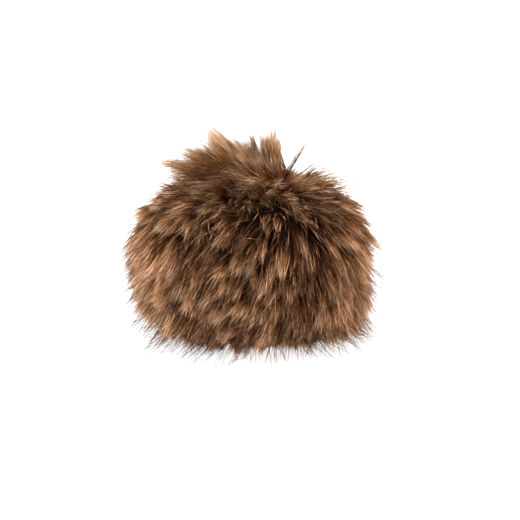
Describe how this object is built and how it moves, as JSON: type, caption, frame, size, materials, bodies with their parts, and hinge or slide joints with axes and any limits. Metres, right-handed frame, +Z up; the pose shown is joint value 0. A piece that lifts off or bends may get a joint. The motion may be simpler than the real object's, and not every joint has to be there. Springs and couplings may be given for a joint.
{
  "type": "faux fur pom pom",
  "caption": "Round fluffy pom pom of long brown faux fur, settled on a small flat spot, with a loose tuft on top, for trimming hats, bags and key rings.",
  "frame": {"origin": "on the surface that the pom pom rests on, in the middle of its flat spot", "axes": "+Z up; the front, with the parting at the right of the tuft, faces -Y; +X to the right of the front"},
  "size_m": [0.1331, 0.1267, 0.1061],
  "materials": {
    "fur": "long-pile faux fur: dark brown at the roots, tan at the tips of its locks, with fine dark guard hairs; matt, with a faint sheen along the hairs"
  },
  "bodies": {
    "root": {"fur_ball": "fur"}
  },
  "joints": []
}
